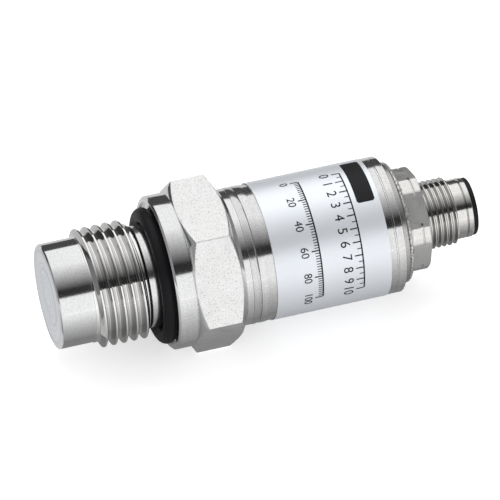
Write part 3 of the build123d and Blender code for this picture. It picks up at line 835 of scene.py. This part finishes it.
def make_plug_shell():
    bm = bmesh.new()
    angles = plug_angles()
    flange = [
        (shell_rear, shell_bore_r),
        (shell_rear, shell_tail_r),
        (flange_seat, shell_tail_r),
        (flange_seat, flange_r),
        (bead_end, flange_r),
    ]
    add_strip(bm, rings(rounded(flange), angles), angles, 0)
    groove_start, groove_end, groove_depth = plug_groove
    groove_r = plug_turned_r - groove_depth
    edge_start = plug_hex_end - plug_hex_edge
    spatter = [
        plug_row(bead_end, plug_turned_r, angles),
        plug_row(bead_end + weld_spatter, plug_turned_r, angles),
    ]
    add_strip(bm, rings([(bead_end, flange_r)], angles) + spatter, angles, 3)
    hexagon = [
        spatter[1],
        plug_row(groove_start, plug_turned_r, angles),
        plug_row((groove_start + groove_end) / 2, groove_r, angles),
        plug_row(groove_end, plug_turned_r, angles),
    ]
    for step, radius in enumerate(plug_limits()):
        x = edge_start + plug_hex_edge * step / plug_edge_steps
        hexagon.append(plug_row(x, radius, angles))
    add_strip(bm, hexagon, angles, 2)
    add_strip(bm, [hexagon[-1]] + rings([(plug_hex_end, PLUG.root)], angles), angles, 0)
    rows, shift = thread_rows(plug_hex_end, plug_thread_end, PLUG, angles)
    add_strip(bm, rows, angles, 1, shift)
    groove_start, groove_end, groove_depth = nose_groove
    nose = [
        (plug_thread_end, PLUG.root),
        (plug_thread_end, nose_r, 0.03),
        (groove_start, nose_r),
    ]
    groove = [
        (groove_start, nose_r),
        ((groove_start + groove_end) / 2, nose_r - groove_depth, 0.02),
        (groove_end, nose_r),
    ]
    nose_front = [
        (groove_end, nose_r),
        (nose_end, nose_r, 0.12),
        (nose_end, shell_bore_r, 0.05),
        (shell_rear, shell_bore_r),
    ]
    for outline, slot in ((nose, 0), (groove, 1), (nose_front, 0)):
        add_strip(bm, rings(rounded(outline), angles), angles, slot)
    materials = [plug_steel, plug_thread, plug_flats, weld]
    nodes = ["connector_shell"]
    piece = finish_piece(bm, "plug_shell", materials, nodes, sharp=25)
    mark_flats(piece)


def mark_flats(piece):
    """Faces of the plug's hexagon that aren't flats are turned lands."""
    for face in piece.data.polygons:
        if face.material_index == 2:
            angle = math.atan2(face.normal.z, face.normal.y)
            off_normal = (angle - math.radians(plug_hex_turn)) % (math.pi / 3) - math.pi / 6
            if abs(off_normal) > math.radians(2) or abs(face.normal.x) > 0.1:
                face.material_index = 0


def insert_angles():
    """Even steps, and two angles at each side of the key."""
    middle = math.radians(key_angle)
    half = math.radians(key_half_angle)
    top = math.radians(key_half_angle - key_draft_angle)
    around = [middle + offset for offset in (-half, -top, 0, top, half)]
    steps = 140
    gap = math.tau - 2 * half
    return around + [middle + half + gap * step / steps for step in range(1, steps)]


def make_insert():
    bm = bmesh.new()
    angles = insert_angles()
    top = math.radians(key_half_angle - key_draft_angle / 2)
    cavity_key = []
    for angle in angles:
        on_key = abs(angle - math.radians(key_angle)) < top
        cavity_key.append(cavity_r - key_height if on_key else cavity_r)
    seal_low, seal_high, seal_r = span("insert_seal_ring")
    groove_floor = seal_r - (seal_high - seal_low) - slip_gap
    groove_margin = 0.2
    groove_start = seal_low - groove_margin
    groove_end = seal_high + groove_margin
    outside = [
        (insert_rear, 0, 0),
        (insert_rear, insert_r),
        (groove_start, insert_r),
        (groove_start, groove_floor),
        (groove_end, groove_floor),
        (groove_end, insert_r),
        (nose_end, insert_r, 0),
        (nose_end, rim_r, 0.35),
        (rim_end, rim_r, 0.35),
        (rim_end, cavity_r, 0.12),
        (key_end, cavity_r),
    ]
    add_strip(bm, rings(rounded(outside), angles), angles, 0)
    wall = [
        [(key_end, cavity_r)] * len(angles),
        [(key_end, radius) for radius in cavity_key],
        [(cavity_floor, radius) for radius in cavity_key],
        [(cavity_floor, 0)] * len(angles),
    ]
    add_strip(bm, wall, angles, 0)
    finish_piece(bm, "plug_insert", [plastic], ["contact_insert"])


def make_contacts():
    tail_r = 0.4
    shank_r = 0.62
    shank_start = insert_rear + 0.6
    pin_r = 0.5
    point_r = 0.2
    point_length = 0.35
    for number in range(1, 5):
        node = f"contact_pin_{number}"
        low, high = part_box(node)
        middle = ((low.y + high.y) / MM / 2, (low.z + high.z) / MM / 2)
        start = low.x / MM
        end = high.x / MM
        outline = [
            (start, 0, 0),
            (start, tail_r, 0.05),
            (shank_start, tail_r, 0),
            (shank_start, shank_r, 0.05),
            (cavity_floor, shank_r, 0),
            (cavity_floor, pin_r, 0),
            (end - point_length, pin_r, 0.3),
            (end, point_r, 0.1),
            (end, 0, 0),
        ]
        turned_piece(f"plug_pin_{number}", outline, gold, [node], 40, middle)


# Label and its print
def add_sheet(bm, x_range, angle_range, r_range, corner=0.0):
    """A thin closed sheet, bent round the axis."""
    x_low, x_high = x_range
    r_low, r_high = r_range
    first, last = (math.radians(angle) for angle in angle_range)
    columns = max(3, math.ceil((last - first) / math.radians(1.5)))
    angles = [first + (last - first) * step / columns for step in range(columns + 1)]
    rows = []
    section = [(x_low, r_low), (x_low, r_high), (x_high, r_high), (x_high, r_low)]
    for x, radius in section + section[:1]:
        row = []
        for angle in angles:
            to_end = min(angle - first, last - angle) * r_high
            cut = 0.0
            if to_end < corner:
                cut = corner - math.sqrt(corner**2 - (corner - to_end) ** 2)
            inset = cut if x == x_low else -cut
            row.append((x + inset, radius))
        rows.append(row)
    grid = add_strip(bm, rows, angles, 0, open_ends=True)
    for column in (0, -1):
        bm.faces.new([line[column] for line in grid[:4]])


def add_number(bm, text, x, angle, height):
    """A number that reads round the tube, with its head towards the plug."""
    curve = bpy.data.curves.new("number", "FONT")
    curve.body = text
    curve.size = height / DIGIT_SHARE
    curve.align_x = "CENTER"
    curve.extrude = (PRINT_R[1] - PRINT_R[0]) / 2
    curve.resolution_u = 6
    holder = bpy.data.objects.new("number", curve)
    bpy.context.scene.collection.objects.link(holder)
    mesh = bpy.data.meshes.new_from_object(holder)
    bpy.data.objects.remove(holder)
    centre_r = (PRINT_R[0] + PRINT_R[1]) / 2
    for vertex in mesh.vertices:
        u, v, w = vertex.co
        turn = math.radians(angle) + u / centre_r
        radius = centre_r + w
        vertex.co = Vector((x + v, radius * math.cos(turn), radius * math.sin(turn))) * MM
    bm.from_mesh(mesh)
    bpy.data.meshes.remove(mesh)


def make_scale(name, x, angle_range, top_value, parts, number_step, height):
    """A rule round the label with ticks and plain numbers in front of it, as one printed piece."""
    bm = bmesh.new()
    add_sheet(bm, (x, x + RULE_WIDTH), angle_range, PRINT_R)
    first, last = angle_range
    for part in range(parts + 1):
        angle = first + (last - first) * part / parts
        numbered = part % number_step == 0
        length, half = LONG_TICK if numbered else SHORT_TICK
        add_sheet(bm, (x - length, x - 0.01), (angle - half, angle + half), PRINT_R)
        if numbered:
            value = str(round(top_value * part / parts))
            add_number(bm, value, x - length - height - NUMBER_GAP, angle, height)
    finish_piece(bm, name, [ink])


def make_block(name, x_range, angle_range, corner):
    """A plain printed block with rounded corners."""
    bm = bmesh.new()
    add_sheet(bm, x_range, angle_range, PRINT_R, corner)
    finish_piece(bm, name, [ink])


def make_label():
    bm = bmesh.new()
    wrap = (label_seam_angle, label_seam_angle + label_wrap_angle)
    add_sheet(bm, (label_start, label_end), wrap, (housing_r + 0.01, label_r))
    finish_piece(bm, "label_sheet", [label_foil], ["label"])


# Studio
def studio_material(name, build):
    """A material whose surface is the shader socket that build(tree) returns."""
    material = empty_material(name)
    tree = material.node_tree
    tree.nodes.remove(tree.nodes["Principled BSDF"])
    output = tree.nodes["Material Output"]
    tree.links.new(build(tree), output.inputs["Surface"])
    return material


def seen_directly(tree):
    """1 for rays from the camera, from glossy surfaces and through glass, and 0 for the rest."""
    path = add_node(tree, "ShaderNodeLightPath")
    rays = {0: path.outputs["Is Camera Ray"], 1: path.outputs["Is Glossy Ray"]}
    both = add_node(tree, "ShaderNodeMath", rays, operation="MAXIMUM").outputs["Value"]
    all_rays = {0: both, 1: path.outputs["Is Transmission Ray"]}
    return add_node(tree, "ShaderNodeMath", all_rays, operation="MAXIMUM").outputs["Value"]


def stage_mesh(name, corners, faces, material):
    mesh = bpy.data.meshes.new(name)
    mesh.from_pydata(corners, [], faces)
    mesh.materials.append(material)
    card = bpy.data.objects.new(name, mesh)
    bpy.context.scene.collection.objects.link(card)
    card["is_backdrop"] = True
    return card


def rectangle(x_range, y_range, z):
    """Corners of a level rectangle."""
    (x_low, x_high), (y_low, y_high) = x_range, y_range
    return [(x_low, y_low, z), (x_high, y_low, z), (x_high, y_high, z), (x_low, y_high, z)]


def make_floor():
    """A white floor that keeps a soft shadow."""

    def build(tree):
        glow = {"Strength": remap(tree, seen_directly(tree), 0, 1, 0, FLOOR_GLOW)}
        emission = add_node(tree, "ShaderNodeEmission", glow).outputs["Emission"]
        diffuse = add_node(tree, "ShaderNodeBsdfDiffuse", {"Color": (0.8, 0.8, 0.8, 1)})
        parts = {0: emission, 1: diffuse.outputs["BSDF"]}
        return add_node(tree, "ShaderNodeAddShader", parts).outputs["Shader"]

    reach = (-4.0, 4.0)
    corners = rectangle(reach, reach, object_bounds()[0][2])
    stage_mesh("floor", corners, [(0, 1, 2, 3)], studio_material("floor", build))


def make_card(name, angles, radius, strengths, half_length=1.6):
    """A strip parallel to the sensor, seen only in reflections. Angles rise from the front
    horizon over the top, and the strength runs evenly from the first edge to the second."""
    steps = 8
    corners = []
    for step in range(steps + 1):
        angle = math.radians(angles[0] + (angles[1] - angles[0]) * step / steps)
        y = -radius * math.cos(angle)
        z = radius * math.sin(angle)
        corners += [(-half_length, y, z), (half_length, y, z)]
    faces = [(2 * step, 2 * step + 1, 2 * step + 3, 2 * step + 2) for step in range(steps)]

    def build(tree):
        apart = add_node(tree, "ShaderNodeSeparateXYZ", {"Vector": object_coordinates(tree)})
        strength = remap(tree, apart.outputs["Y"], corners[0][1], corners[-1][1], *strengths)
        return add_node(tree, "ShaderNodeEmission", {"Strength": strength}).outputs["Emission"]

    only_reflected(stage_mesh(name, corners, faces, studio_material(name, build)))


def only_reflected(card):
    card.visible_camera = False
    card.visible_diffuse = False
    card.visible_transmission = False
    card.visible_shadow = False


def make_flat_card(name, corners, strength):
    """A card of one strength, seen only in reflections."""

    def build(tree):
        return add_node(tree, "ShaderNodeEmission", {"Strength": strength}).outputs["Emission"]

    only_reflected(stage_mesh(name, corners, [(0, 1, 2, 3)], studio_material(name, build)))


def make_back_flag(distance, height, strength):
    """A dark strip that stands on the floor behind the sensor."""
    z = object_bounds()[0][2]
    corners = [(-1, distance, z), (1, distance, z), (1, distance, height), (-1, distance, height)]
    make_flat_card("back_flag", corners, strength)


def make_mat(front, back, back_strength, under_strength):
    """Painted shade of the floor, as the metal sees it: it gets darker towards the sensor's front,
    as in its own shadow, is a dark painted shadow right under it, and even behind it."""
    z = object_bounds()[0][2] + 0.0002
    start = PAINTED_SHADE_START
    # A painted shadow under the sensor, seen only in the metal
    under = rectangle((0.001, 0.08), (start, -start), z + 0.0001)
    make_flat_card("under_painted_shadow", under, under_strength)
    make_flat_card("back_painted_shade", rectangle((-1, 1), (start, back), z), back_strength)

    def build(tree):
        apart = add_node(tree, "ShaderNodeSeparateXYZ", {"Vector": object_coordinates(tree)})
        fall = remap(tree, apart.outputs["Y"], start, start - PAINTED_SHADE_FADE, 0, -1, clamp=False)
        rest = add_node(tree, "ShaderNodeMath", {0: fall}, operation="EXPONENT").outputs["Value"]
        strength = remap(tree, rest, 0, 1, PAINTED_SHADE_FAR, PAINTED_SHADE_DARKEST)
        return add_node(tree, "ShaderNodeEmission", {"Strength": strength}).outputs["Emission"]

    corners = rectangle((-1, 1), (front, start), z)
    material = studio_material("front_painted_shade", build)
    only_reflected(stage_mesh("front_painted_shade", corners, [(0, 1, 2, 3)], material))


def make_side_card(name, x, height, strength):
    """A grey card across the sensor's axis."""
    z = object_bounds()[0][2]
    corners = [(x, -0.7, z), (x, 0.7, z), (x, 0.7, height), (x, -0.7, height)]
    make_flat_card(name, corners, strength)


def make_world():
    world = bpy.data.worlds.new("studio")
    world.use_nodes = True
    bpy.context.scene.world = world
    tree = world.node_tree
    strength = remap(tree, seen_directly(tree), 0, 1, WORLD_LIGHT, 1.0)
    tree.links.new(strength, tree.nodes["Background"].inputs["Strength"])
    tree.nodes["Background"].inputs["Color"].default_value = (1, 1, 1, 1)


def make_lamp(name, place, size, power):
    """A soft box that points at the middle of the sensor and isn't seen in the metal."""
    light = bpy.data.lights.new(name, "AREA")
    light.shape = "SQUARE"
    light.size = size
    light.energy = power
    lamp = bpy.data.objects.new(name, light)
    bpy.context.scene.collection.objects.link(lamp)
    lamp.location = place
    aim = Vector((0.038, 0, 0)) - lamp.location
    lamp.rotation_euler = aim.to_track_quat("-Z", "Y").to_euler()
    lamp.visible_glossy = False


def make_camera():
    """The photograph's view: from the front left and 45 degrees above, from a metre away."""
    azimuth = math.radians(-17.0)
    elevation = math.radians(45.0)
    distance = 1.0
    pixels_per_metre = 5790.0
    frame_pixels = 500
    middle_pixel = (260.5, 251.0)
    right = Vector((math.cos(azimuth), math.sin(azimuth), 0))
    towards = Vector(
        (
            math.sin(azimuth) * math.cos(elevation),
            -math.cos(azimuth) * math.cos(elevation),
            math.sin(elevation),
        )
    )
    up = towards.cross(right)
    low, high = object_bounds()
    middle = Vector(((low[0] + high[0]) / 2, 0, 0))
    across = (middle_pixel[0] - frame_pixels / 2) / pixels_per_metre
    down = (middle_pixel[1] - frame_pixels / 2) / pixels_per_metre
    data = bpy.data.cameras.new("camera")
    data.sensor_width = 36
    data.lens = pixels_per_metre * distance * data.sensor_width / frame_pixels
    data.clip_start = 0.01
    camera = bpy.data.objects.new("camera", data)
    bpy.context.scene.collection.objects.link(camera)
    camera.location = middle + towards * distance - right * across + up * down
    camera.rotation_euler = towards.to_track_quat("Z", "Y").to_euler()
    bpy.context.scene.camera = camera


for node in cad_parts.values():
    for place, material in enumerate(node.data.materials):
        slot_name = material.name.split(".")[0]
        node.data.materials[place] = INNER_MATERIALS.get(slot_name, turned)

make_port()
make_diaphragm()
make_sealing_ring()
make_housing()
make_plug_weld()
make_plug_shell()
make_insert()
make_contacts()
make_label()
make_scale(
    "wide_scale", 53.0, SCALE_ANGLES, top_value=10, parts=20, number_step=2, height=1.7
)
make_scale(
    "fine_scale", 45.6, SCALE_ANGLES, top_value=100, parts=50, number_step=10, height=1.4
)
make_block("label_block", (54.1, 57.3), (60, 112), corner=0.3)

make_floor()
make_world()
make_lamp("key_lamp", (0.2, 0.5, 0.9), size=0.8, power=6.0)
make_lamp("front_lamp", (-0.4, -0.9, 0.35), size=0.6, power=2.5)
make_card("camera_flag", (37, 52), radius=0.9, strengths=(0.03, 0.03))
make_card("top_card", (52, 108), radius=0.9, strengths=(0.03, 1.0))
make_back_flag(distance=0.1, height=0.046, strength=0.07)
make_mat(front=-0.6, back=0.1, back_strength=0.66, under_strength=0.24)
make_side_card("front_end_card", x=-0.6, height=0.35, strength=0.3)
make_side_card("plug_end_card", x=0.7, height=0.6, strength=0.25)
make_camera()

bpy.context.scene.view_settings.view_transform = "Standard"
